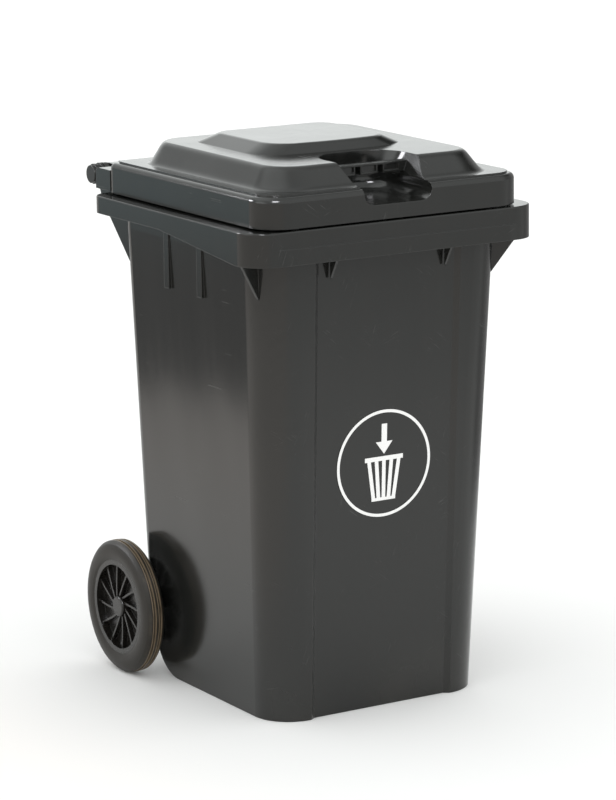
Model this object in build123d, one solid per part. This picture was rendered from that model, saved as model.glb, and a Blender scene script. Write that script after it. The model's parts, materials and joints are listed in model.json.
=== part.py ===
from build123d import *
from math import atan2, cos, degrees, radians, sin
import os

# Two-wheel waste bin of about 100 litres.  Millimetres.  Origin on the floor, at the middle of the
# overall footprint.  +X is right seen from the front, +Y points to the wheels and the lid hinge.
# "left" in a part name is the -X side.

# ---- body walls
FLOOR_Z = 18.0              # inside floor
WALL_TOP_Z = 671.0          # the tapered walls end here and go on vertically into the rim
WALL = 4.0
HALF_WIDTH_LOW = 177.7      # at z = 0
HALF_WIDTH_TOP = 202.0      # at WALL_TOP_Z
FRONT_Y_LOW = -208.8
FRONT_Y_TOP = -239.3
REAR_Y_LOW = 166.5
REAR_Y_TOP = 173.5
FRONT_CORNER_R = 58.0
REAR_CORNER_R = 28.0

# ---- recessed panel on the front wall
PANEL_DEPTH = 6.0
PANEL_HALF_LOW = 118.5      # at its bottom, outside the sloping border
PANEL_HALF_TOP = 121.0
PANEL_BORDER = 8.0

# ---- lower rear corner, cut away for the axle
NICHE_Y = 134.0
NICHE_LOW_Z = 62.0
NICHE_HIGH_Z = 142.0
NICHE_TOP_Z = 192.0
HEEL_Y = 76.0               # where the rounded heel meets the floor
HEEL_R = 61.0

# ---- hollow under the floor, inside a standing edge
POCKET_SIDE = 9.0           # width of the standing edge
POCKET_FRONT = 14.0
POCKET_REAR = 12.0
POCKET_FRONT_R = 30.0
POCKET_REAR_R = 10.0
FLOOR_T = 6.0

# ---- rim
RIM_TOP_Z = 718.6
RIM_HALF = 238.4
RIM_FRONT_Y = -266.7
RIM_REAR_Y = 198.0
RIM_FRONT_R = 41.0
RIM_REAR_R = 24.0
RIM_WALL = 3.5
RIM_EDGE_R = 2.0
RIM_PLATE = 4.0
RIM_LOW_Z = 671.0           # lower edge at the front
RIM_SIDE_LOW_Z = 693.0      # lower edge along the rear half
RIM_SLOPE_FRONT_Y = -216.0
RIM_SLOPE_REAR_Y = -4.0
BAND_TOP_Z = 694.3          # raised band along the front of the rim
BAND_PROUD = 1.8
OPENING_HALF = 192.0
OPENING_FRONT_Y = -231.0
OPENING_REAR_Y = 163.0
OPENING_FRONT_R = 46.0
OPENING_REAR_R = 20.0
UPSTAND_TOP_Z = 726.0
UPSTAND_WALL = 3.0

# ---- ribs under the rim
SINK = 2.0                  # joined pieces run into each other by this much
SIDE_RIB_Y = (36.5, -58.0)
SIDE_RIB_W = 14.0
SIDE_RIB_OUT = 4.5
SIDE_RIB_LOW_Z = 599.0
GUSSET_T = 3.6
CORNER_GUSSET_TURN = 25.0   # degrees from the X axis
CORNER_GUSSET_SPAN = 44.0
CORNER_GUSSET_WALL_H = 98.0
CORNER_GUSSET_TIP_H = 36.0
FRONT_GUSSET_X = 95.0
FRONT_GUSSET_WALL_H = 74.0
FRONT_GUSSET_TIP_H = 27.0

# ---- lid
LID_LOW_Z = 721.2
LID_WALL = 3.5
SKIRT_HALF = 215.5
SKIRT_FRONT_Y = -264.0
SKIRT_REAR_Y = 187.0
SKIRT_TOP_Z = 765.0
SKIRT_FRONT_R = 44.0
SKIRT_REAR_R = 16.0
SKIRT_EDGE_R = 8.0
LEDGE_INSET = 10.0
LEDGE_TOP_Z = 767.5
LEDGE_REAR_R = 12.0
DOME_HALF_LOW = 188.0
DOME_HALF_TOP = 160.0
DOME_FRONT_LOW = -246.0
DOME_FRONT_TOP = -206.0
DOME_REAR_LOW = 164.0
DOME_REAR_TOP = 139.0
DOME_REAR_Z = 799.0         # the dome top falls slightly towards the front
DOME_FRONT_Z = 797.5
DOME_R_LOW = 66.0
DOME_R_TOP = 40.0
DOME_STEPS = 6
DOME_ROOT = 0.12            # the flank starts below the ledge, wider by this share of its width
PLATFORM_TOP_Z = 811.5
PLATFORM_LOW_Z = 788.0
PLATFORM_HALF_LOW = 147.0
PLATFORM_HALF_TOP = 96.0
PLATFORM_FRONT_LOW = -114.0
PLATFORM_FRONT_TOP = -103.0
PLATFORM_REAR_LOW = 116.0
PLATFORM_REAR_TOP = 86.0
PLATFORM_EDGE_R = 11.0
PLATFORM_BOW = 14.0         # the front edge bows out by this much
PLATFORM_FRONT_R = 46.0
PLATFORM_REAR_R = 30.0

# ---- hand recess in the front of the lid, and the bar across it
SCOOP_HALF = 56.0
SCOOP_REAR_Y = -124.0
SCOOP_FLOOR_Z = 742.0
SCOOP_REAR_R = 44.0
SCOOP_FLOOR_R = 17.0
SCOOP_FLARE_Z = 768.0       # above this the side walls lean outwards
SCOOP_FLARE = 12.0
BAR_FRONT_Y = -188.0
BAR_REAR_Y = -174.0
BAR_TOP_Z = 788.0
BAR_H = 15.0
BAR_SKIN = 3.0
CELL_COUNT = 3
CELL_GAP = 9.0
CELL_WALL = 2.2
CELL_DEPTH = 3.0

# ---- lid hinge and rear handle
HINGE_Y = 252.5
HINGE_Z = 739.0
PIN_R = 7.0
PIN_HEAD_R = 16.0
PIN_HEAD_IN = 191.0
PIN_HEAD_OUT = 209.0
PIN_TIP_X = 136.0
PIN_RING_INSETS = (0.0, 1.5, 0.8, 2.6)
PIN_CORE_INSET = 2.5        # depth of the grooves between the rings
RUN_FIT = 0.05              # radial clearance of every turning pair
LUG_R = 16.0
LUG_OUTER = (182.0, 190.0)
LUG_INNER = (150.0, 158.0)
LUG_FOOT_Z = 616.0
KNUCKLE = (160.0, 180.0)
KNUCKLE_R = 15.0
ARM = (192.0, 213.0)
ARM_END_Y = 228.0
ARM_LOW_Z = 722.0
ARM_TOP_Z = 753.0
ARM_END_R = 9.0
HANDLE_R = 14.0
HANDLE_BORE_END = 132.0

# ---- lid buffers
BUFFER_X = 160.0
BUFFER_Y = -249.0
BUFFER_R = 5.5
BUFFER_STEM_R = 2.5
BUFFER_STEM_L = 8.0
BUFFER_GAP = 0.05           # the buffers almost touch the rim

# ---- axle and wheels
AXLE_Y = 161.0
AXLE_Z = 100.0
AXLE_R = 10.0
AXLE_END_X = 227.5
BRACKET = (154.0, 176.0)
BRACKET_R = 18.0
BRACKET_FOOT = 40.0         # half height against the wall
WHEEL_X = 217.0
WHEEL_R = 100.0
TYRE_HALF_W = 16.5
TYRE_IN_R = 71.0
TYRE_LIP = 4.0              # height of the bevel next to the rim ring
TYRE_LIP_HALF_W = 15.9
TYRE_BULGE_R = 83.0         # the side wall is widest here
SHOULDER_IN_R = 94.0
SHOULDER_IN_HALF_W = 13.9
SHOULDER_MID_R = 97.6
SHOULDER_MID_HALF_W = 10.9
TREAD_EDGE_R = 99.2
TREAD_HALF_W = 9.0
GROOVE_AT = 4.6             # from the middle of the tread
GROOVE_W = 3.0
GROOVE_DEPTH = 2.6
BEAD_R = 74.0
BEAD_HALF_W = 4.0
RIM_RING_IN_R = 63.5
RIM_RING_HALF_W = 14.5
HUB_R = 17.0
HUB_IN = -19.0              # inboard hub face, along the axle from the wheel centre
HUB_SHOULDER = -3.0
HUB_OUT = 3.0
SPIGOT_R = 14.0
BUSH_R = 12.5
BUSH_L = 11.0
FLANGE_T = 1.5
FLANGE_R = 13.5
WEB_HALF_T = 2.0
SPOKE_COUNT = 12
SPOKE_T = 3.0
SPOKE_OUT = 10.0
SPOKE_SWEEP = 26.0          # degrees from the hub to the rim ring
SPOKE_MID_R = 40.0
SPOKE_MID_SWEEP = 20.0
WASHER_T = 2.0
WASHER_R = 13.0
NUT_T = 2.5
NUT_R = 12.5
NUT_SLOTS = 8
NUT_SLOT_W = 1.4
NUT_SLOT_DEPTH = 1.4
CAP_R = 15.8
CAP_END = 14.0
CAP_WALL = 1.75
CAP_SEAT_GAP = 0.6          # between the cap and the edge of its seat in the wheel
SLACK = 0.1                 # end play between turning faces

# ---- front emblem disc
EMBLEM_R = 79.0
EMBLEM_T = 0.4
EMBLEM_Z = 362.8


def blend(low, high, z, z0=0.0, z1=WALL_TOP_Z):
    """Value at height z on the straight line from low at z0 to high at z1."""
    return low + (high - low) * (z - z0) / (z1 - z0)


def rounded_box_face(half, front, rear, front_r, rear_r):
    """Rectangle on the XY plane with its own radius at the front and rear corners."""
    face = make_face(Polyline((-half, front), (half, front), (half, rear), (-half, rear), close=True))
    face = fillet(face.vertices().group_by(Axis.Y)[0], front_r)
    return fillet(face.vertices().group_by(Axis.Y)[-1], rear_r)


def inset_box_face(half, front, rear, front_r, rear_r, inset):
    """The same rectangle with every side moved inwards by inset."""
    return rounded_box_face(half - inset, front + inset, rear - inset, front_r - inset, rear_r - inset)


def slab(face, z_low, z_high):
    """Vertical prism of an XY face."""
    return extrude(Pos(0, 0, z_low) * face, z_high - z_low)


def corner_box(x_low, x_high, y_low, y_high, z_low, z_high):
    """Box between two opposite corners."""
    centre = ((x_low + x_high) / 2, (y_low + y_high) / 2, (z_low + z_high) / 2)
    return Pos(*centre) * Box(x_high - x_low, y_high - y_low, z_high - z_low)


def side_prism(points, x_low, x_high):
    """Prism along X of a closed outline given as (y, z) points."""
    face = Plane.YZ * make_face(Polyline(*points, close=True))
    return extrude(Pos(x_low, 0, 0) * face, x_high - x_low)


def both_sides(solid):
    """A solid and its mirror image in the YZ plane."""
    return [solid, mirror(solid, about=Plane.YZ)]


def cylinder_x(radius, x_low, x_high, y, z):
    """Cylinder along X."""
    return Pos((x_low + x_high) / 2, y, z) * Rot(0, 90, 0) * Cylinder(radius, x_high - x_low)


def disc(radius, z_low, z_high):
    """Cylinder along Z."""
    return Pos(0, 0, (z_low + z_high) / 2) * Cylinder(radius, z_high - z_low)


# ---------------------------------------------------------------- body

def wall_section(z, inset):
    """Wall outline at height z with the recessed front panel, moved inwards by inset."""
    half = blend(HALF_WIDTH_LOW, HALF_WIDTH_TOP, z) - inset
    front = blend(FRONT_Y_LOW, FRONT_Y_TOP, z) + inset
    rear = blend(REAR_Y_LOW, REAR_Y_TOP, z) - inset
    panel = blend(PANEL_HALF_LOW, PANEL_HALF_TOP, z)
    points = [
        (-half, front),
        (-panel, front),
        (-panel + PANEL_BORDER, front + PANEL_DEPTH),
        (panel - PANEL_BORDER, front + PANEL_DEPTH),
        (panel, front),
        (half, front),
        (half, rear),
        (-half, rear),
    ]
    face = make_face(Polyline(*points, close=True))
    outer = [v for v in face.vertices() if abs(abs(v.X) - half) < 0.01 and v.Y < 0]
    face = fillet(outer, FRONT_CORNER_R - inset)
    face = fillet(face.vertices().group_by(Axis.Y)[-1], REAR_CORNER_R - inset)
    return Pos(0, 0, z) * face


def niche(inset):
    """Space behind the lower rear wall that leaves room for the axle."""
    wall_y = NICHE_Y - inset
    heel_y = HEEL_Y - inset
    top_z = NICHE_TOP_Z + inset
    back = REAR_Y_TOP + 20
    heel = RadiusArc((wall_y, NICHE_LOW_Z), (heel_y, inset - 0.01), HEEL_R)
    rest = Polyline(
        heel @ 1,
        (heel_y, -5),
        (back, -5),
        (back, top_z),
        (REAR_Y_TOP + 1, top_z),
        (wall_y, NICHE_HIGH_Z + inset),
        heel @ 0,
    )
    face = Plane.YZ * make_face([heel, rest])
    return extrude(face, HALF_WIDTH_TOP + 10, both=True)


def wall_solid(inset, z_low):
    """Tapered block of the walls, with its vertical top and the axle niche."""
    block = loft([wall_section(z_low, inset), wall_section(WALL_TOP_Z, inset)], ruled=True)
    block += extrude(wall_section(WALL_TOP_Z, inset), RIM_TOP_Z - RIM_PLATE - WALL_TOP_Z)
    return block - niche(inset)


def rim():
    """Flanged rim: a top plate and a hanging skirt with a rising lower edge."""
    outline = (RIM_HALF, RIM_FRONT_Y, RIM_REAR_Y, RIM_FRONT_R, RIM_REAR_R)
    ring = slab(rounded_box_face(*outline), RIM_LOW_Z, RIM_TOP_Z)
    ring = fillet(ring.faces().sort_by(Axis.Z)[-1].edges(), RIM_EDGE_R)
    ring -= slab(inset_box_face(*outline, RIM_WALL), RIM_LOW_Z, RIM_TOP_Z - RIM_PLATE)
    rising_edge = [
        (RIM_SLOPE_FRONT_Y, RIM_LOW_Z - 1),
        (RIM_SLOPE_FRONT_Y, RIM_LOW_Z),
        (RIM_SLOPE_REAR_Y, RIM_SIDE_LOW_Z),
        (RIM_REAR_Y + 10, RIM_SIDE_LOW_Z),
        (RIM_REAR_Y + 10, RIM_LOW_Z - 1),
    ]
    ring -= side_prism(rising_edge, -RIM_HALF - 10, RIM_HALF + 10)
    return ring + front_band()


def front_band():
    """Slightly raised lower band between the front corners of the rim."""
    band = Box(2 * (RIM_HALF - RIM_FRONT_R), 2 * BAND_PROUD, BAND_TOP_Z - RIM_LOW_Z)
    band = Pos(0, RIM_FRONT_Y, (RIM_LOW_Z + BAND_TOP_Z) / 2) * band
    ends = band.edges().filter_by(Axis.Z).group_by(Axis.Y)[0]
    return chamfer(ends, BAND_PROUD - 0.01, 12)


def opening(z_low, z_high, grow):
    """Prism of the bin's mouth, widened by grow."""
    outline = (OPENING_HALF, OPENING_FRONT_Y, OPENING_REAR_Y, OPENING_FRONT_R, OPENING_REAR_R)
    return slab(inset_box_face(*outline, -grow), z_low, z_high)


def side_ribs():
    """Two flat upright ribs under the rim on each side wall."""
    ribs = []
    wall_x = blend(HALF_WIDTH_LOW, HALF_WIDTH_TOP, SIDE_RIB_LOW_Z)
    height = RIM_TOP_Z - RIM_PLATE - SIDE_RIB_LOW_Z
    for y in SIDE_RIB_Y:
        rib = Box(SIDE_RIB_OUT + SINK, SIDE_RIB_W, height)
        ribs += both_sides(Pos(wall_x + (SIDE_RIB_OUT - SINK) / 2, y, SIDE_RIB_LOW_Z + height / 2) * rib)
    return ribs


def gusset(plane, wall, wall_h, tip, tip_h):
    """Web in an upright plane: wall_h high at its wall end and tip_h high at its tip under the rim."""
    top_z = RIM_TOP_Z - RIM_PLATE
    points = [(wall, top_z), (wall, top_z - wall_h), (tip, top_z - tip_h), (tip, top_z)]
    return extrude(plane * make_face(Polyline(*points, close=True)), GUSSET_T / 2, both=True)


def corner_gussets():
    """Webs between the front corners of the wall and the rim."""
    tip = FRONT_CORNER_R + CORNER_GUSSET_SPAN
    web = gusset(Plane.XZ, FRONT_CORNER_R - SINK, CORNER_GUSSET_WALL_H, tip, CORNER_GUSSET_TIP_H)
    centre_x = HALF_WIDTH_TOP - FRONT_CORNER_R
    centre_y = FRONT_Y_TOP + FRONT_CORNER_R
    return both_sides(Pos(centre_x, centre_y, 0) * Rot(0, 0, -CORNER_GUSSET_TURN) * web)


def front_gussets():
    """Small webs between the front wall and the rim."""
    tip = RIM_FRONT_Y + RIM_WALL / 2
    web = gusset(Plane.YZ, FRONT_Y_TOP + SINK, FRONT_GUSSET_WALL_H, tip, FRONT_GUSSET_TIP_H)
    return both_sides(Pos(FRONT_GUSSET_X, 0, 0) * web)


def hinge_lugs():
    """Plates behind the rear wall that carry the hinge pins and the handle."""
    points = [
        (REAR_Y_TOP - WALL, LUG_FOOT_Z),
        (HINGE_Y, LUG_FOOT_Z + HINGE_Y - REAR_Y_TOP + WALL),
        (HINGE_Y + LUG_R, HINGE_Z),
        (HINGE_Y - LUG_R, HINGE_Z),
        (RIM_REAR_Y + RIM_WALL, RIM_TOP_Z),
        (REAR_Y_TOP - WALL, RIM_TOP_Z),
    ]
    lugs = []
    for x_low, x_high in (LUG_OUTER, LUG_INNER):
        plate = side_prism(points, x_low, x_high)
        plate += cylinder_x(LUG_R, x_low, x_high, HINGE_Y, HINGE_Z)
        lugs += both_sides(plate)
    return lugs


def axle_brackets():
    """Bosses on the lower rear wall that hold the axle."""
    points = [
        (NICHE_Y - SINK, AXLE_Z - BRACKET_FOOT),
        (AXLE_Y, AXLE_Z - BRACKET_R),
        (AXLE_Y, AXLE_Z + BRACKET_R),
        (NICHE_Y - SINK, AXLE_Z + BRACKET_FOOT),
    ]
    bracket = side_prism(points, *BRACKET)
    bracket += cylinder_x(BRACKET_R, *BRACKET, AXLE_Y, AXLE_Z)
    return both_sides(bracket)


def underside_pocket():
    """Shallow hollow under the floor that leaves a standing edge all round."""
    front = FRONT_Y_LOW + POCKET_FRONT
    rear = HEEL_Y - POCKET_REAR
    face = rounded_box_face(HALF_WIDTH_LOW - POCKET_SIDE, front, rear, POCKET_FRONT_R, POCKET_REAR_R)
    return slab(face, -1, FLOOR_Z - FLOOR_T)


def bin_body():
    body = wall_solid(0, 0)
    body += rim()
    body += side_ribs()
    body += corner_gussets()
    body += front_gussets()
    body += hinge_lugs()
    body += axle_brackets()
    body += cylinder_x(HANDLE_R, -LUG_INNER[0] - 1, LUG_INNER[0] + 1, HINGE_Y, HINGE_Z)
    body -= wall_solid(WALL, FLOOR_Z)
    body += opening(RIM_TOP_Z - 1, UPSTAND_TOP_Z, UPSTAND_WALL)
    body -= opening(RIM_TOP_Z - RIM_PLATE - 1, UPSTAND_TOP_Z + 1, 0)
    body -= underside_pocket()
    body -= cylinder_x(AXLE_R + RUN_FIT, -BRACKET[1] - 1, BRACKET[1] + 1, AXLE_Y, AXLE_Z)
    pin_bore = cylinder_x(PIN_R + RUN_FIT, HANDLE_BORE_END, LUG_OUTER[1] + 1, HINGE_Y, HINGE_Z)
    for bore in both_sides(pin_bore):
        body -= bore
    return body


# ---------------------------------------------------------------- lid

def platform_face(half, front, rear):
    """Raised platform outline: straight sides and rear, bowed front with larger corners."""
    corner_y = front + PLATFORM_BOW
    bow = ThreePointArc((half, corner_y), (0, front), (-half, corner_y))
    rest = Polyline((-half, corner_y), (-half, rear), (half, rear), (half, corner_y))
    face = make_face([bow, rest])
    face = fillet(face.vertices().group_by(Axis.Y)[0], PLATFORM_FRONT_R)
    return fillet(face.vertices().group_by(Axis.Y)[-1], PLATFORM_REAR_R)


def skirt_face(inset):
    return inset_box_face(SKIRT_HALF, SKIRT_FRONT_Y, SKIRT_REAR_Y, SKIRT_FRONT_R, SKIRT_REAR_R, inset)


def lid_block(inset):
    """Solid block of the lid, with every wall moved inwards by inset."""
    skirt = slab(skirt_face(inset), LID_LOW_Z, SKIRT_TOP_Z - inset)
    skirt = fillet(skirt.faces().sort_by(Axis.Z)[-1].edges(), SKIRT_EDGE_R - inset / 2)
    ledge = rounded_box_face(
        SKIRT_HALF - LEDGE_INSET - inset,
        SKIRT_FRONT_Y + LEDGE_INSET + inset,
        SKIRT_REAR_Y - LEDGE_INSET - inset,
        SKIRT_FRONT_R - LEDGE_INSET - inset,
        LEDGE_REAR_R,
    )
    step = slab(ledge, SKIRT_TOP_Z - inset - 1, LEDGE_TOP_Z - inset)
    return skirt + step + dome(inset) + platform(inset)


def dome(inset):
    """Main raised part of the lid: S-shaped flanks, and a top that falls towards the front."""
    tilt = degrees(atan2(DOME_REAR_Z - DOME_FRONT_Z, DOME_REAR_TOP - DOME_FRONT_TOP))
    sections = [dome_section(-DOME_ROOT, 0, inset)]
    for step in range(DOME_STEPS + 1):
        t = step / DOME_STEPS
        rise = 3 * t**2 - 2 * t**3
        sections.append(dome_section(t, rise, inset, tilt * rise))
    return loft(sections)


def dome_section(t, rise, inset, tilt=0.0):
    """Outline of the dome at the share t of its flank's width and the share rise of its height."""
    half = DOME_HALF_LOW + (DOME_HALF_TOP - DOME_HALF_LOW) * t - inset
    front = DOME_FRONT_LOW + (DOME_FRONT_TOP - DOME_FRONT_LOW) * t + inset
    rear = DOME_REAR_LOW + (DOME_REAR_TOP - DOME_REAR_LOW) * t - inset
    radius = DOME_R_LOW + (DOME_R_TOP - DOME_R_LOW) * t - inset
    mid_y = (DOME_FRONT_TOP + DOME_REAR_TOP) / 2
    top_z = (DOME_FRONT_Z + DOME_REAR_Z) / 2
    base_z = LEDGE_TOP_Z - 1 if t < 0 else LEDGE_TOP_Z
    face = rounded_box_face(half, front - mid_y, rear - mid_y, radius, radius)
    return Pos(0, mid_y, base_z + (top_z - base_z) * rise - inset) * Rot(tilt, 0, 0) * face


def platform(inset):
    """Second, smaller raised level with a bowed front."""
    low = platform_face(PLATFORM_HALF_LOW - inset, PLATFORM_FRONT_LOW + inset, PLATFORM_REAR_LOW - inset)
    high = platform_face(PLATFORM_HALF_TOP - inset, PLATFORM_FRONT_TOP + inset, PLATFORM_REAR_TOP - inset)
    low = Pos(0, 0, PLATFORM_LOW_Z - inset) * low
    high = Pos(0, 0, PLATFORM_TOP_Z - inset) * high
    block = loft([low, high], ruled=True)
    return fillet(block.faces().sort_by(Axis.Z)[-1].edges(), PLATFORM_EDGE_R - inset / 2)


def scoop_face(half, rear):
    return rounded_box_face(half, SKIRT_FRONT_Y - 30, rear, 1, SCOOP_REAR_R + half - SCOOP_HALF)


def scoop(grow):
    """Hand recess, open to the front and top and flared above the ledge, widened by grow."""
    outline = scoop_face(SCOOP_HALF + grow, SCOOP_REAR_Y + grow)
    well = slab(outline, SCOOP_FLOOR_Z - grow, PLATFORM_TOP_Z + 20)
    well = fillet(well.faces().sort_by(Axis.Z)[0].edges(), SCOOP_FLOOR_R + grow)
    low = Pos(0, 0, SCOOP_FLARE_Z) * outline
    high = Pos(0, 0, DOME_REAR_Z) * scoop_face(SCOOP_HALF + SCOOP_FLARE + grow, SCOOP_REAR_Y + grow)
    return well + loft([low, high], ruled=True)


def grab_bar():
    """Bar across the hand recess: framed panels in front, with slots between them."""
    depth = BAR_REAR_Y - BAR_FRONT_Y
    mid_y = (BAR_FRONT_Y + BAR_REAR_Y) / 2
    mid_z = BAR_TOP_Z - BAR_H / 2
    bar = Pos(0, mid_y, mid_z) * Box(2 * (SCOOP_HALF + SCOOP_FLARE) + 10, depth, BAR_H)
    bar &= scoop(LID_WALL / 2)
    pitch = 2 * SCOOP_HALF / CELL_COUNT
    for i in range(CELL_COUNT):
        x = -SCOOP_HALF + pitch * (i + 0.5)
        cell = Box(pitch - CELL_GAP - 2 * CELL_WALL, 2 * CELL_DEPTH, BAR_H - 2 * BAR_SKIN)
        bar -= Pos(x, BAR_FRONT_Y, mid_z) * cell
    for i in range(1, CELL_COUNT):
        x = -SCOOP_HALF + pitch * i
        bar -= Pos(x, mid_y, mid_z - BAR_SKIN) * Box(CELL_GAP, depth + 1, BAR_H)
    return bar


def lid_arms():
    """Hollow outer arms and solid hinge knuckles behind the skirt."""
    y_in = SKIRT_REAR_Y - LID_WALL
    arm = corner_box(*ARM, y_in, ARM_END_Y, ARM_LOW_Z, ARM_TOP_Z)
    arm = fillet(arm.edges().filter_by(Axis.X).group_by(Axis.Y)[-1].sort_by(Axis.Z)[-1], ARM_END_R)
    arm -= corner_box(
        ARM[0] + LID_WALL, ARM[1] - LID_WALL,
        SKIRT_REAR_Y, ARM_END_Y - LID_WALL,
        ARM_LOW_Z - 1, ARM_TOP_Z - LID_WALL,
    )
    points = [
        (y_in, HINGE_Z - KNUCKLE_R),
        (HINGE_Y, HINGE_Z - KNUCKLE_R),
        (HINGE_Y, HINGE_Z + KNUCKLE_R),
        (y_in, HINGE_Z + KNUCKLE_R),
    ]
    knuckle = side_prism(points, *KNUCKLE)
    knuckle += cylinder_x(KNUCKLE_R, *KNUCKLE, HINGE_Y, HINGE_Z)
    knuckle -= cylinder_x(PIN_R + RUN_FIT, KNUCKLE[0] - 1, KNUCKLE[1] + 1, HINGE_Y, HINGE_Z)
    return both_sides(arm) + both_sides(knuckle)


def buffer_boss():
    """Round boss inside the front of the lid that holds a rubber buffer."""
    boss_low = LID_LOW_Z + 1
    boss = disc(BUFFER_R, boss_low, SKIRT_TOP_Z - LID_WALL + 1)
    boss -= disc(BUFFER_STEM_R, boss_low - 1, boss_low + BUFFER_STEM_L + SINK)
    return Pos(BUFFER_X, BUFFER_Y, 0) * boss


def lid():
    shell = lid_block(0) - scoop(0)
    shell -= lid_block(LID_WALL) - scoop(LID_WALL)
    shell -= slab(skirt_face(LID_WALL), LID_LOW_Z - 1, LID_LOW_Z + 1)
    shell += grab_bar()
    shell += lid_arms()
    shell += both_sides(buffer_boss())
    return shell


def lid_buffer():
    """Rubber plug: round head under the boss, stem in the boss hole."""
    z_low = RIM_TOP_Z + BUFFER_GAP
    boss_low = LID_LOW_Z + 1
    head = disc(BUFFER_R, z_low, boss_low)
    stem = disc(BUFFER_STEM_R - RUN_FIT, z_low, boss_low + BUFFER_STEM_L)
    return Pos(BUFFER_X, BUFFER_Y, 0) * (head + stem)


# ---------------------------------------------------------------- hinge pin

def hinge_pin():
    """Headed pin; the head is a stack of rings."""
    pin = cylinder_x(PIN_R, PIN_TIP_X, PIN_HEAD_IN + 1, HINGE_Y, HINGE_Z)
    pin = chamfer(pin.faces().sort_by(Axis.X)[0].edges(), 1.5)
    ring_w = (PIN_HEAD_OUT - PIN_HEAD_IN) / len(PIN_RING_INSETS)
    for i, ring_inset in enumerate(PIN_RING_INSETS):
        x = PIN_HEAD_IN + ring_w * i
        radius = PIN_HEAD_R - ring_inset
        ring = cylinder_x(radius, x, x + ring_w, HINGE_Y, HINGE_Z)
        pin += fillet(ring.edges().filter_by(GeomType.CIRCLE), 0.8)
        pin += cylinder_x(radius - PIN_CORE_INSET, x - 0.5, x + ring_w - 0.1, HINGE_Y, HINGE_Z)
    return pin


# ---------------------------------------------------------------- wheels, about the local Z axis

def place_wheel_part(solid):
    """From the local wheel frame (Z outwards, wheel centre at 0) to the +X wheel."""
    return Pos(WHEEL_X, AXLE_Y, AXLE_Z) * Rot(0, 90, 0) * solid


def polar(radius, angle):
    return radius * cos(radians(angle)), radius * sin(radians(angle))


def spokes():
    """Curved ribs on both faces of the wheel web."""
    start = polar(HUB_R - SINK, 0)
    end = polar(RIM_RING_IN_R + 1, SPOKE_SWEEP)
    curve = ThreePointArc(start, polar(SPOKE_MID_R, SPOKE_MID_SWEEP), end)
    rib = extrude(trace(curve, SPOKE_T), SPOKE_OUT, both=True)
    return PolarLocations(0, SPOKE_COUNT) * rib


def wheel():
    """Moulded wheel centre: hub, web, curved spokes and the ring that carries the tyre."""
    body = disc(TYRE_IN_R - RUN_FIT, -RIM_RING_HALF_W, RIM_RING_HALF_W)
    body += disc(BEAD_R - RUN_FIT, -BEAD_HALF_W, BEAD_HALF_W)
    body -= disc(RIM_RING_IN_R, -RIM_RING_HALF_W - 1, RIM_RING_HALF_W + 1)
    body += disc(RIM_RING_IN_R + 1, -WEB_HALF_T, WEB_HALF_T)
    body += disc(HUB_R, HUB_IN, HUB_SHOULDER)
    body += disc(HUB_R + 2, -SPOKE_OUT, WEB_HALF_T)
    for rib in spokes():
        body += rib
    body -= disc(CAP_R + CAP_SEAT_GAP, HUB_SHOULDER, SPOKE_OUT + 1)
    body += disc(SPIGOT_R, HUB_SHOULDER - 1, HUB_OUT)
    return body - disc(BUSH_R + RUN_FIT, HUB_IN - 1, HUB_OUT + 1)


def tyre():
    """Solid tyre: rounded side walls and a crowned tread with two grooves."""
    lip = (TYRE_IN_R + TYRE_LIP, TYRE_LIP_HALF_W)
    side = ThreePointArc(lip, (TYRE_BULGE_R, TYRE_HALF_W), (SHOULDER_IN_R, SHOULDER_IN_HALF_W))
    shoulder_mid = (SHOULDER_MID_R, SHOULDER_MID_HALF_W)
    shoulder = ThreePointArc(side @ 1, shoulder_mid, (TREAD_EDGE_R, TREAD_HALF_W))
    crown_mid = WHEEL_R - (WHEEL_R - TREAD_EDGE_R) / 4
    crown = ThreePointArc(shoulder @ 1, (crown_mid, TREAD_HALF_W / 2), (WHEEL_R, 0))
    inside = Polyline(
        crown @ 1,
        (BEAD_R, 0),
        (BEAD_R, BEAD_HALF_W + RUN_FIT),
        (TYRE_IN_R, BEAD_HALF_W + RUN_FIT),
        (TYRE_IN_R, RIM_RING_HALF_W),
        lip,
    )
    half = revolve(Plane.XZ * make_face([side, shoulder, crown, inside]), Axis.Z)
    body = half + mirror(half, about=Plane.XY)
    for z in (-GROOVE_AT, GROOVE_AT):
        groove = disc(WHEEL_R + 1, z - GROOVE_W / 2, z + GROOVE_W / 2)
        body -= groove - disc(WHEEL_R - GROOVE_DEPTH, z - GROOVE_W, z + GROOVE_W)
    return body


def wheel_bush(face_z, direction):
    """Flanged plain bush pressed into one end of the hub; direction is +1 for the outboard end."""
    flange_z = face_z + direction * FLANGE_T
    deep_z = face_z - direction * BUSH_L
    body = disc(BUSH_R, min(face_z, deep_z), max(face_z, deep_z))
    body += disc(FLANGE_R, min(face_z, flange_z), max(face_z, flange_z))
    return body - disc(AXLE_R + RUN_FIT, min(deep_z, flange_z) - 1, max(deep_z, flange_z) + 1)


def axle_washer():
    z_low = HUB_OUT + FLANGE_T + SLACK
    body = disc(WASHER_R, z_low, z_low + WASHER_T)
    return body - disc(AXLE_R + RUN_FIT, z_low - 1, z_low + WASHER_T + 1)


def push_nut():
    """Dished star-lock cap nut pushed on to the axle end."""
    z_low = HUB_OUT + FLANGE_T + SLACK + WASHER_T
    body = disc(NUT_R, z_low, z_low + NUT_T)
    body = chamfer(body.faces().sort_by(Axis.Z)[-1].edges(), 1.2)
    body -= disc(AXLE_R, z_low - 1, z_low + NUT_T + 1)
    slot = Pos(AXLE_R, 0, z_low + NUT_T / 2) * Box(2 * NUT_SLOT_DEPTH, NUT_SLOT_W, NUT_T + 2)
    for slot in PolarLocations(0, NUT_SLOTS) * slot:
        body -= slot
    return body


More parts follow.
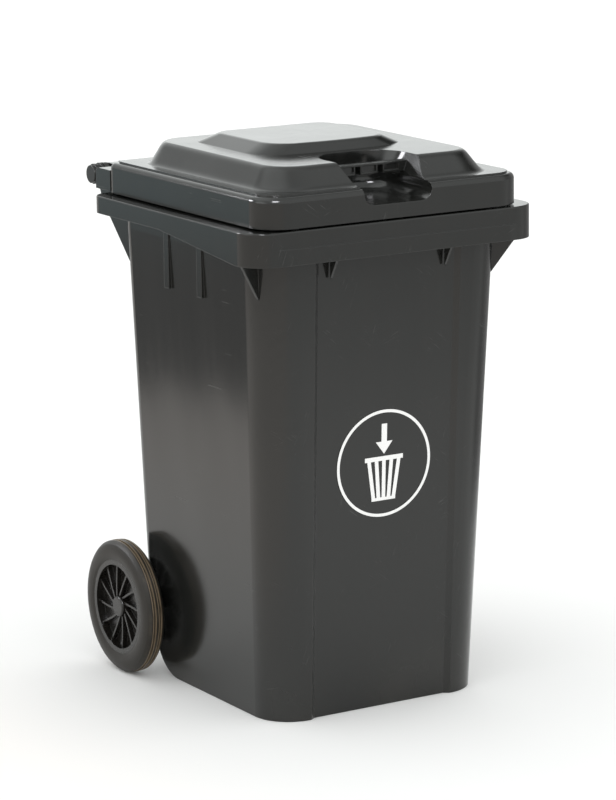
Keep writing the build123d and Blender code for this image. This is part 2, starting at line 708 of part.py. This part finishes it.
def hub_cap():
    """Round cap over the axle end, clipped on to the hub spigot."""
    z_low = HUB_SHOULDER + SLACK
    body = disc(CAP_R, z_low, CAP_END)
    body = fillet(body.faces().sort_by(Axis.Z)[-1].edges(), 3)
    return body - disc(SPIGOT_R + RUN_FIT, z_low - 1, CAP_END - CAP_WALL)


# ---------------------------------------------------------------- axle and emblem

def axle():
    rod = cylinder_x(AXLE_R, -AXLE_END_X, AXLE_END_X, AXLE_Y, AXLE_Z)
    return chamfer(rod.edges().filter_by(GeomType.CIRCLE), 1.2)


def axle_spacer():
    """Tube that keeps the wheel clear of the bin wall."""
    x_low = BRACKET[1]
    x_high = WHEEL_X + HUB_IN - FLANGE_T - SLACK
    tube = cylinder_x(AXLE_R + 3.5, x_low, x_high, AXLE_Y, AXLE_Z)
    return tube - cylinder_x(AXLE_R + RUN_FIT, x_low - 1, x_high + 1, AXLE_Y, AXLE_Z)


def front_emblem():
    """Thin round disc on the recessed panel; it leans with the front wall."""
    front = blend(FRONT_Y_LOW, FRONT_Y_TOP, EMBLEM_Z) + PANEL_DEPTH
    lean = (FRONT_Y_TOP - FRONT_Y_LOW) / WALL_TOP_Z
    plane = Plane(origin=(0, front, EMBLEM_Z), x_dir=(1, 0, 0), z_dir=(0, -1, lean))
    return extrude(plane * Circle(EMBLEM_R), EMBLEM_T)


# ---------------------------------------------------------------- assembly

def single_parts():
    return {
        "bin_body": bin_body(),
        "lid": lid(),
        "axle": axle(),
        "front_emblem": front_emblem(),
    }


def right_hand_parts():
    """Parts of the +X side; the -X side is their mirror image."""
    parts = {
        "wheel": wheel(),
        "tyre": tyre(),
        "wheel_bush_inner": wheel_bush(HUB_IN, -1),
        "wheel_bush_outer": wheel_bush(HUB_OUT, 1),
        "axle_washer": axle_washer(),
        "push_nut": push_nut(),
        "hub_cap": hub_cap(),
    }
    parts = {name: place_wheel_part(solid) for name, solid in parts.items()}
    parts["axle_spacer"] = axle_spacer()
    parts["hinge_pin"] = hinge_pin()
    parts["lid_buffer"] = lid_buffer()
    return parts


os.makedirs("parts", exist_ok=True)
for name, solid in single_parts().items():
    export_step(solid, f"parts/{name}.step")
for name, solid in right_hand_parts().items():
    export_step(solid, f"parts/{name}_right.step")
    export_step(mirror(solid, about=Plane.YZ), f"parts/{name}_left.step")
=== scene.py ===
import json
import math

import bmesh
import bpy
from mathutils import Matrix, Vector

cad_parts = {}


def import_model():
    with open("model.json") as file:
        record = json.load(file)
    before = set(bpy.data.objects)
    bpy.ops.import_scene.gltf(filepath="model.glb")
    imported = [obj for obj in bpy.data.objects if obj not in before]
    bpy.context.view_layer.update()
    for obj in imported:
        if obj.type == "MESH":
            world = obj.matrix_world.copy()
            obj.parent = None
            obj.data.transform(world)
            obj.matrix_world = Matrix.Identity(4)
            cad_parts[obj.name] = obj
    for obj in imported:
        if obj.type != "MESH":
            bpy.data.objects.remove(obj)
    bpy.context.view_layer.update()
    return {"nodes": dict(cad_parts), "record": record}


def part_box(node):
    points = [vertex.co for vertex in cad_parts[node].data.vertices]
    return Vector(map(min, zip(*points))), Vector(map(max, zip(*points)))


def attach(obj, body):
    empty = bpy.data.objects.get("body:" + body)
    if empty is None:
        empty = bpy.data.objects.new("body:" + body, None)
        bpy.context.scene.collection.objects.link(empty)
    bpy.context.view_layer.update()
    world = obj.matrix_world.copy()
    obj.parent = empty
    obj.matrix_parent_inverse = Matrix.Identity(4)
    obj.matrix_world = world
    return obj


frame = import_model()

# ---- camera: degrees, metres, millimetres of focal length
AZIMUTH = 31.38             # how far the camera stands to the left of the front
ELEVATION = 12.10
ROLL = -0.74
TARGET = (0.0512, 0.0685, 0.3973)
DISTANCE = 5.2006
LENS = 156.5

# ---- studio: brightness where 1 is white, angles in degrees (azimuth from the back towards the right)
ROOM_LIGHT = 1.25           # on matt surfaces and behind the object
WALL_LIGHT = 1.02           # the same room seen in glossy surfaces, before the areas below
ROOM_AREAS = (              # azimuth, elevation, inner and outer radius, change of brightness
    (15.0, 24.0, 10.0, 32.0, 0.30),
    (30.0, 11.0, 8.0, 24.0, 0.32),
    (58.0, 42.0, 12.0, 34.0, -0.45),
    (84.0, 8.0, 20.0, 50.0, -0.60),
    (-88.0, 8.0, 8.0, 28.0, 1.30),
    (-48.0, 14.0, 10.0, 26.0, -0.40),
    (-65.0, 58.0, 12.0, 36.0, 0.70),
    (180.0, 25.0, 20.0, 60.0, 0.20),
)
DARK_PANELS = (             # name, centre, facing, size, soft share, light below and above
    ("dark_left", (-1.02, 1.52, 0.42), (0.95, -0.31, 0.0), (0.95, 0.84), (0.08, 0.06),
     (0.28, 0.28, 0.28), (0.50, 0.60, 0.62)),
    ("dark_right", (0.78, 0.00, 0.60), (-1.0, 0.0, 0.0), (1.15, 1.25), (0.25, 0.20),
     (0.42, 0.42, 0.42), (0.42, 0.42, 0.42)),
)
LAMPS = (                   # name, azimuth, elevation, size
    ("lamp_front", -145.0, 40.0, (0.80, 0.80)),
    ("lamp_back", -48.0, 24.0, (0.70, 0.60)),
)
LAMP_LIGHT = (24.0, 24.0, 25.0)
LAMP_SOFT = (0.1, 0.1)
LAMP_DISTANCE = 2.6

# ---- floor: metres
FLOOR_HALF = 60.0
FLOOR_Z = -0.0005
FLOOR_BRIGHT_R = 1.1        # seen in glossy surfaces, the floor is fully bright within this radius
FLOOR_DIM_R = 3.0           # and from here on only has the share FLOOR_DIM of that
FLOOR_DIM = 0.68

# ---- tyre
GROOVE_AT = 0.0046          # metres from the middle of the tread
TREAD_START_R = 0.0945      # the tread's dust and the painted highlight along its groove edges fade in between these radii
TREAD_FULL_R = 0.0975

# ---- body
DUST_TOP_Z = 0.12           # dust thins out up to this height

# ---- printed symbol on the front disc: metres from the disc's centre, across and up
PRINT_T = 0.00025
RING_OUT = 0.0785
RING_IN = 0.0742
CAN_HALF_TOP = 0.028
CAN_HALF_LOW = 0.020
CAN_TOP = 0.004
CAN_LOW = -0.050
CAN_BASE_H = 0.0045
CAN_BARS = 5
CAN_BAR_W = 0.0060
CAN_RIM_H = 0.0065
CAN_RIM_OVERHANG = 0.004
ARROW_TIP = 0.014
ARROW_HEAD_TOP = 0.032
ARROW_HEAD_HALF = 0.014
ARROW_SHAFT_HALF = 0.0045
ARROW_TOP = 0.058


# ---------------------------------------------------------------- node helpers

class Shader:
    """One node tree of a material or the world, with short calls for the nodes used here."""

    def __init__(self, tree):
        self.tree = tree
        self.tree.nodes.clear()

    def node(self, kind, inputs=None, **settings):
        """Add a node; inputs maps socket names or numbers to values or other sockets."""
        node = self.tree.nodes.new(kind)
        for key, value in settings.items():
            setattr(node, key, value)
        for key, value in (inputs or {}).items():
            if isinstance(value, bpy.types.NodeSocket):
                self.tree.links.new(value, node.inputs[key])
            else:
                node.inputs[key].default_value = value
        return node

    def math(self, operation, *values):
        return self.node("ShaderNodeMath", dict(enumerate(values)), operation=operation).outputs[0]

    def length(self, first, second):
        """Length of the diagonal of two distances."""
        squares = [self.math("MULTIPLY", value, value) for value in (first, second)]
        return self.math("SQRT", self.math("ADD", *squares))

    def vector(self, operation, *values):
        return self.node("ShaderNodeVectorMath", dict(enumerate(values)), operation=operation).outputs

    def smooth(self, value, low, high):
        """Smooth step that is 0 where value is low and 1 where it is high."""
        node = self.node("ShaderNodeMapRange", {
            "Value": value, "From Min": low, "From Max": high,
        }, interpolation_type="SMOOTHSTEP")
        return node.outputs["Result"]

    def mix(self, factor, first, second):
        """Blend of two colours."""
        node = self.node("ShaderNodeMix", {0: factor, 6: first, 7: second}, data_type="RGBA")
        return node.outputs[2]

    def noise(self, vector, scale, detail=2.0, roughness=0.5):
        node = self.node("ShaderNodeTexNoise", {
            "Vector": vector, "Scale": scale, "Detail": detail, "Roughness": roughness,
        })
        return node.outputs["Fac"]

    def stretch(self, vector, scale, rotation=(0, 0, 0)):
        """The vector turned by degrees, then scaled along each axis."""
        turned = self.node("ShaderNodeVectorRotate", {
            "Vector": vector, "Rotation": tuple(math.radians(a) for a in rotation),
        }, rotation_type="EULER_XYZ").outputs[0]
        return self.vector("MULTIPLY", turned, scale)[0]

    def bump(self, height, strength, distance, normal=None):
        inputs = {"Height": height, "Strength": strength, "Distance": distance}
        if normal is not None:
            inputs["Normal"] = normal
        return self.node("ShaderNodeBump", inputs).outputs[0]

    def place(self):
        """Position in the object's own frame; for CAD nodes that is the shared frame, in metres."""
        return self.node("ShaderNodeTexCoord").outputs["Object"]

    def split(self, vector):
        return self.node("ShaderNodeSeparateXYZ", {0: vector}).outputs


def rgb(red, green, blue):
    return (red, green, blue, 1.0)


def box_middle(node):
    low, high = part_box(node)
    return tuple((a + b) / 2 for a, b in zip(low, high))


def new_material(name):
    material = bpy.data.materials.new(name)
    material.use_nodes = True
    return material, Shader(material.node_tree)


def finish_material(shader, color, roughness, normal=None, metallic=0.0, specular=0.5):
    inputs = {
        "Base Color": color,
        "Roughness": roughness,
        "Metallic": metallic,
        "Specular IOR Level": specular,
    }
    if normal is not None:
        inputs["Normal"] = normal
    surface = shader.node("ShaderNodeBsdfPrincipled", inputs)
    shader.node("ShaderNodeOutputMaterial", {"Surface": surface.outputs[0]})


# ---------------------------------------------------------------- materials

def edge_mask(shader, radius):
    """Soft-edge normal, and how strongly it differs from the flat normal."""
    soft = shader.node("ShaderNodeBevel", {"Radius": radius}, samples=4).outputs[0]
    flat = shader.node("ShaderNodeNewGeometry").outputs["Normal"]
    same = shader.vector("DOT_PRODUCT", soft, flat)["Value"]
    return soft, shader.smooth(same, 0.995, 0.85)


def scratches(shader, where, angle, seed):
    """Thin broken lines at one angle in the XZ plane."""
    moved = shader.vector("ADD", where, (seed, 0.0, seed * 1.7))[0]
    lines = shader.noise(shader.stretch(moved, (30.0, 2.0, 900.0), (0, angle, 0)), 1.0, 1.0)
    patches = shader.noise(moved, 20.0, 2.0)
    thin = shader.smooth(lines, 0.69, 0.75)
    return shader.math("MULTIPLY", thin, shader.smooth(patches, 0.60, 0.70))


def bin_plastic():
    """Glossy moulded polyethylene: faint flow marks, handling scratches, dust, rubbed edges."""
    material, shader = new_material("bin_plastic")
    where = shader.place()
    height = shader.split(where)[2]

    cloud = shader.noise(where, 5.0, 3.0)
    streak = shader.noise(shader.stretch(where, (55.0, 55.0, 1.6)), 1.0, 3.0)
    grain = shader.noise(where, 900.0, 2.0)
    ripple = shader.noise(shader.stretch(where, (7.0, 7.0, 4.0)), 1.0, 1.0)
    soft, worn = edge_mask(shader, 0.0016)

    color = shader.mix(cloud, rgb(0.0090, 0.0102, 0.0098), rgb(0.0125, 0.0130, 0.0120))
    color = shader.mix(shader.math("MULTIPLY", streak, 0.5), color, rgb(0.016, 0.0155, 0.0135))
    dust = shader.math("MULTIPLY", shader.smooth(height, DUST_TOP_Z, 0.0), shader.smooth(cloud, 0.35, 0.7))
    color = shader.mix(shader.math("MULTIPLY", dust, 0.05), color, rgb(0.18, 0.16, 0.13))
    color = shader.mix(shader.math("MULTIPLY", worn, 0.06), color, rgb(0.22, 0.23, 0.22))

    marks = scratches(shader, where, 24.0, 0.0)
    for angle, seed in ((-38.0, 3.1), (71.0, 7.7)):
        marks = shader.math("MAXIMUM", marks, scratches(shader, where, angle, seed))
    color = shader.mix(shader.math("MULTIPLY", marks, 0.09), color, rgb(0.30, 0.31, 0.30))

    roughness = shader.math("MULTIPLY_ADD", streak, 0.07, 0.115)
    roughness = shader.math("ADD", roughness, shader.math("MULTIPLY", marks, 0.25))
    relief = shader.math("MULTIPLY_ADD", grain, 0.012, ripple)
    finish_material(shader, color, roughness, shader.bump(relief, 1.0, 0.0016, soft))
    return material


def wheel_plastic():
    """Black injection-moulded plastic: satin, slightly mottled, with greyed edges."""
    material, shader = new_material("wheel_plastic")
    where = shader.place()
    soft, worn = edge_mask(shader, 0.0010)
    cloud = shader.noise(where, 60.0, 4.0)
    grain = shader.noise(where, 1500.0, 2.0)
    color = shader.mix(cloud, rgb(0.0050, 0.0045, 0.0036), rgb(0.012, 0.0105, 0.0085))
    color = shader.mix(shader.math("MULTIPLY", worn, 0.12), color, rgb(0.16, 0.15, 0.13))
    roughness = shader.math("MULTIPLY_ADD", cloud, 0.14, 0.20)
    finish_material(shader, color, roughness, shader.bump(grain, 0.25, 0.0003, soft))
    return material


def tyre_rubber():
    """Solid rubber: satin side walls, a dusty tread, and tan lines along the edges of its grooves, a
    painted highlight tinted like dust.
    """
    material, shader = new_material("tyre_rubber")
    where = shader.place()
    x, y, z = shader.split(where)
    wheel_x, axle_y, axle_z = box_middle("tyre_right")
    radius = shader.length(shader.math("SUBTRACT", y, axle_y), shader.math("SUBTRACT", z, axle_z))
    across = shader.math("ABSOLUTE", shader.math("SUBTRACT", shader.math("ABSOLUTE", x), wheel_x))
    from_groove = shader.math("ABSOLUTE", shader.math("SUBTRACT", across, GROOVE_AT))
    cloud = shader.noise(where, 45.0, 5.0, 0.6)
    grain = shader.noise(where, 1300.0, 3.0, 0.7)
    around = shader.noise(shader.stretch(where, (900.0, 30.0, 30.0)), 1.0, 2.0)

    color = shader.mix(cloud, rgb(0.008, 0.0068, 0.0048), rgb(0.019, 0.0155, 0.011))
    tread = shader.smooth(radius, TREAD_START_R, TREAD_FULL_R)
    outside = shader.smooth(from_groove, 0.0010, 0.0016)
    near = shader.smooth(from_groove, 0.0034, 0.0024)
    edge = shader.math("MULTIPLY", shader.math("MULTIPLY", outside, near), tread)
    edge = shader.math("MULTIPLY", edge, shader.smooth(around, 0.2, 0.5))
    # painted highlight in a dust colour: tan lines on the tread along the groove edges
    color = shader.mix(shader.math("MULTIPLY", edge, 0.8), color, rgb(0.24, 0.18, 0.115))
    floor_dust = shader.math("MULTIPLY", tread, shader.smooth(cloud, 0.45, 0.75))
    color = shader.mix(shader.math("MULTIPLY", floor_dust, 0.25), color, rgb(0.10, 0.08, 0.055))
    roughness = shader.math("MULTIPLY_ADD", cloud, 0.2, 0.34)
    finish_material(shader, color, roughness, shader.bump(grain, 0.35, 0.0005), specular=0.32)
    return material


def pin_plastic():
    """Black ribbed pin heads: satin, with greyed ring edges."""
    material, shader = new_material("pin_plastic")
    where = shader.place()
    soft, worn = edge_mask(shader, 0.0008)
    cloud = shader.noise(where, 120.0, 4.0)
    color = shader.mix(cloud, rgb(0.004, 0.004, 0.004), rgb(0.012, 0.012, 0.011))
    color = shader.mix(shader.math("MULTIPLY", worn, 0.15), color, rgb(0.2, 0.2, 0.2))
    roughness = shader.math("MULTIPLY_ADD", cloud, 0.2, 0.22)
    finish_material(shader, color, roughness, soft)
    return material


def nylon():
    """Natural nylon of the wheel bushes, slightly yellowed."""
    material, shader = new_material("nylon")
    cloud = shader.noise(shader.place(), 90.0, 4.0)
    color = shader.mix(cloud, rgb(0.62, 0.60, 0.53), rgb(0.74, 0.72, 0.66))
    finish_material(shader, color, shader.math("MULTIPLY_ADD", cloud, 0.15, 0.35))
    return material


def soft_rubber():
    """Lid buffers: dull black rubber with a fine bloom."""
    material, shader = new_material("soft_rubber")
    cloud = shader.noise(shader.place(), 400.0, 4.0)
    color = shader.mix(cloud, rgb(0.012, 0.012, 0.012), rgb(0.03, 0.03, 0.029))
    finish_material(shader, color, 0.65)
    return material


def zinc_steel():
    """Zinc-plated axle and washers: turned marks, dull patches."""
    material, shader = new_material("zinc_steel")
    where = shader.place()
    cloud = shader.noise(where, 70.0, 5.0, 0.6)
    turning = shader.noise(shader.stretch(where, (2600.0, 30.0, 30.0)), 1.0, 2.0)
    color = shader.mix(cloud, rgb(0.40, 0.41, 0.42), rgb(0.62, 0.62, 0.60))
    roughness = shader.math("MULTIPLY_ADD", cloud, 0.25, 0.22)
    finish_material(shader, color, roughness, shader.bump(turning, 0.3, 0.0001), metallic=1.0)
    return material


def white_print():
    """White screen print, thin enough for the plastic to show through in small flecks."""
    material, shader = new_material("white_print")
    where = shader.place()
    fleck = shader.noise(where, 700.0, 4.0, 0.7)
    cloud = shader.noise(where, 30.0, 3.0)
    color = shader.mix(cloud, rgb(0.80, 0.81, 0.80), rgb(0.88, 0.88, 0.87))
    color = shader.mix(shader.smooth(fleck, 0.68, 0.76), color, rgb(0.25, 0.25, 0.25))
    finish_material(shader, color, 0.35)
    return material


def dress_nodes():
    """Give every CAD node the material of its slot."""
    made = {
        "bin_plastic": bin_plastic(),
        "wheel_plastic": wheel_plastic(),
        "pin_plastic": pin_plastic(),
        "bush_plastic": nylon(),
        "tyre": tyre_rubber(),
        "rubber": soft_rubber(),
        "zinc_steel": zinc_steel(),
    }
    made["emblem"] = made["bin_plastic"]
    for part in frame["record"]["subparts"]:
        data = frame["nodes"][part["node"]].data
        data.materials.clear()
        data.materials.append(made[part["material_slot"]])


# ---------------------------------------------------------------- printed symbol

def print_piece(name, outline, plane, material, inner=None):
    """Thin printed patch: a closed outline, or the band between an outline and an inner one."""
    mesh = bpy.data.meshes.new(name)
    patch = bmesh.new()
    lower = [patch.verts.new((u, v, 0.0)) for u, v in outline]
    if inner is None:
        patch.faces.new(lower)
    else:
        hole = [patch.verts.new((u, v, 0.0)) for u, v in inner]
        for i in range(len(lower)):
            patch.faces.new((lower[i - 1], lower[i], hole[i], hole[i - 1]))
    raised = bmesh.ops.extrude_face_region(patch, geom=patch.faces[:])["geom"]
    top = [part for part in raised if isinstance(part, bmesh.types.BMVert)]
    bmesh.ops.translate(patch, verts=top, vec=(0.0, 0.0, PRINT_T))
    bmesh.ops.recalc_face_normals(patch, faces=patch.faces[:])
    patch.to_mesh(mesh)
    patch.free()
    mesh.materials.append(material)
    piece = bpy.data.objects.new(name, mesh)
    piece.matrix_world = plane
    bpy.context.collection.objects.link(piece)
    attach(piece, "bin")


def disc_plane():
    """Placement close to the outer face of the front disc: X right, Y up the face, Z outwards.

    The lean leaves out the disc's thickness and comes out 0.24 degrees small, so that the print
    touches the disc at the top of the ring and stands 0.67 mm off it at the bottom.
    """
    low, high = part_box("front_emblem")
    radius = (high.x - low.x) / 2
    lean = math.acos(min(1.0, (high.z - low.z) / (2 * radius)))
    outwards = Vector((0.0, -math.cos(lean), -math.sin(lean)))
    up = Vector((0.0, -math.sin(lean), math.cos(lean)))
    across = up.cross(outwards)
    thickness = (high.y - low.y - 2 * radius * math.sin(lean)) / math.cos(lean)
    centre = (low + high) / 2 + outwards * thickness / 2
    return Matrix.Translation(centre) @ Matrix((across, up, outwards)).transposed().to_4x4()


def circle(radius, count=96):
    turns = [2 * math.pi * i / count for i in range(count)]
    return [(radius * math.cos(turn), radius * math.sin(turn)) for turn in turns]


def box_outline(left, right, low, high):
    return [(left, low), (right, low), (right, high), (left, high)]


def can_bar(index):
    """One slanted upright of the container; the uprights spread towards the top."""
    share = 2 * index / (CAN_BARS - 1) - 1
    top = share * (CAN_HALF_TOP - CAN_BAR_W / 2)
    low = share * (CAN_HALF_LOW - CAN_BAR_W / 2)
    half = CAN_BAR_W / 2
    return [(low - half, CAN_LOW), (low + half, CAN_LOW), (top + half, CAN_TOP), (top - half, CAN_TOP)]


def symbol():
    """Ring, slatted container and an arrow pointing into it."""
    plane = disc_plane()
    material = white_print()
    print_piece("symbol_ring", circle(RING_OUT), plane, material, inner=circle(RING_IN))
    rim_half = CAN_HALF_TOP + CAN_RIM_OVERHANG
    rim = box_outline(-rim_half, rim_half, CAN_TOP, CAN_TOP + CAN_RIM_H)
    print_piece("symbol_rim", rim, plane, material)
    base = box_outline(-CAN_HALF_LOW, CAN_HALF_LOW, CAN_LOW - CAN_BASE_H, CAN_LOW)
    print_piece("symbol_base", base, plane, material)
    for i in range(CAN_BARS):
        print_piece(f"symbol_bar_{i + 1}", can_bar(i), plane, material)
    arrow = [
        (0.0, ARROW_TIP),
        (ARROW_HEAD_HALF, ARROW_HEAD_TOP),
        (ARROW_SHAFT_HALF, ARROW_HEAD_TOP),
        (ARROW_SHAFT_HALF, ARROW_TOP),
        (-ARROW_SHAFT_HALF, ARROW_TOP),
        (-ARROW_SHAFT_HALF, ARROW_HEAD_TOP),
        (-ARROW_HEAD_HALF, ARROW_HEAD_TOP),
    ]
    print_piece("symbol_arrow", arrow, plane, material)


# ---------------------------------------------------------------- camera and studio

def direction(azimuth, elevation):
    """Unit vector; azimuth in degrees from the back (+Y) towards the right (+X)."""
    azimuth = math.radians(azimuth)
    elevation = math.radians(elevation)
    return Vector((
        math.sin(azimuth) * math.cos(elevation),
        math.cos(azimuth) * math.cos(elevation),
        math.sin(elevation),
    ))


def camera():
    """Long lens from the front left."""
    back = direction(180 + AZIMUTH, ELEVATION)
    right = direction(90 + AZIMUTH, 0)
    up = back.cross(right)
    turn = Matrix((right, up, back)).transposed() @ Matrix.Rotation(math.radians(ROLL), 3, "Z")
    data = bpy.data.cameras.new("camera")
    data.lens = LENS
    data.sensor_width = 36
    cam = bpy.data.objects.new("camera", data)
    place = Vector(TARGET) + back * DISTANCE
    cam.matrix_world = Matrix.Translation(place) @ turn.to_4x4()
    bpy.context.collection.objects.link(cam)
    bpy.context.scene.camera = cam


def world():
    """Plain white room for matt surfaces; uneven light walls where glossy surfaces mirror it."""
    room = bpy.data.worlds.new("room")
    room.use_nodes = True
    shader = Shader(room.node_tree)
    ray = shader.vector("NORMALIZE", shader.node("ShaderNodeTexCoord").outputs["Generated"])[0]
    light = WALL_LIGHT
    for azimuth, elevation, inner, outer, change in ROOM_AREAS:
        facing = shader.vector("DOT_PRODUCT", ray, tuple(direction(azimuth, elevation)))["Value"]
        area = shader.smooth(facing, math.cos(math.radians(outer)), math.cos(math.radians(inner)))
        light = shader.math("MULTIPLY_ADD", area, change, light)
    plain = shader.node("ShaderNodeBackground", {"Color": rgb(1, 1, 1), "Strength": ROOM_LIGHT})
    walls = shader.node("ShaderNodeBackground", {"Color": rgb(0.97, 1.0, 0.99), "Strength": light})
    glossy = shader.node("ShaderNodeLightPath").outputs["Is Glossy Ray"]
    mixed = shader.node("ShaderNodeMixShader", {0: glossy, 1: plain.outputs[0], 2: walls.outputs[0]})
    shader.node("ShaderNodeOutputWorld", {"Surface": mixed.outputs[0]})
    bpy.context.scene.world = room


def stage_square(name, half, material):
    """Flat square round its own origin, for the studio only."""
    mesh = bpy.data.meshes.new(name)
    grid = bmesh.new()
    bmesh.ops.create_grid(grid, x_segments=1, y_segments=1, size=half)
    grid.to_mesh(mesh)
    grid.free()
    mesh.materials.append(material)
    square = bpy.data.objects.new(name, mesh)
    bpy.context.collection.objects.link(square)
    return square


def reflected_card(name, centre, facing, size, soft, low, high):
    """Studio card with soft edges, seen only in glossy surfaces.

    soft is the share of its width and height that fades out.
    low and high are the colours of light of its lower and upper part.
    """
    material, shader = new_material(name)
    across, up, _ = shader.split(shader.place())
    mask = 1.0
    for value, edge in ((across, soft[0]), (up, soft[1])):
        inside = shader.smooth(shader.math("ABSOLUTE", value), 0.5, 0.5 - edge)
        mask = shader.math("MULTIPLY", inside, mask)
    light = shader.mix(shader.smooth(up, -0.2, 0.1), rgb(*low), rgb(*high))
    glow = shader.node("ShaderNodeEmission", {"Color": light})
    clear = shader.node("ShaderNodeBsdfTransparent")
    mixed = shader.node("ShaderNodeMixShader", {0: mask, 1: clear.outputs[0], 2: glow.outputs[0]})
    shader.node("ShaderNodeOutputMaterial", {"Surface": mixed.outputs[0]})
    card = stage_square(name, 0.5, material)
    turn = Vector(facing).to_track_quat("Z", "Y").to_matrix().to_4x4()
    stretch = Matrix.Diagonal((size[0], size[1], 1.0, 1.0))
    card.matrix_world = Matrix.Translation(centre) @ turn @ stretch
    card.visible_camera = False
    card.visible_diffuse = False
    card.visible_shadow = False


def cards():
    """A dark panel on each side and two small lamps."""
    for panel in DARK_PANELS:
        reflected_card(*panel)
    for name, azimuth, elevation, size in LAMPS:
        towards = direction(azimuth, elevation)
        centre = Vector(TARGET) + towards * LAMP_DISTANCE
        reflected_card(name, centre, -towards, size, LAMP_SOFT, LAMP_LIGHT, LAMP_LIGHT)


def floor():
    """Pale paper, a little warmer on the left; its mirror image dims with distance."""
    material, shader = new_material("paper")
    x, y, _ = shader.split(shader.place())
    paper = shader.mix(shader.smooth(x, -0.2, -1.0), rgb(0.90, 0.91, 0.90), rgb(0.97, 0.925, 0.88))
    far = shader.smooth(shader.length(x, y), FLOOR_BRIGHT_R, FLOOR_DIM_R)
    mirrored = shader.node("ShaderNodeLightPath").outputs["Is Glossy Ray"]
    dim = shader.math("MULTIPLY", shader.math("MULTIPLY", far, mirrored), 1 - FLOOR_DIM)
    paper = shader.mix(dim, paper, rgb(0.0, 0.0, 0.0))
    finish_material(shader, paper, 0.9, specular=0.0)
    stage_square("floor", FLOOR_HALF, material).location.z = FLOOR_Z


dress_nodes()
symbol()
camera()
world()
cards()
floor()
bpy.context.scene.view_settings.view_transform = "Standard"
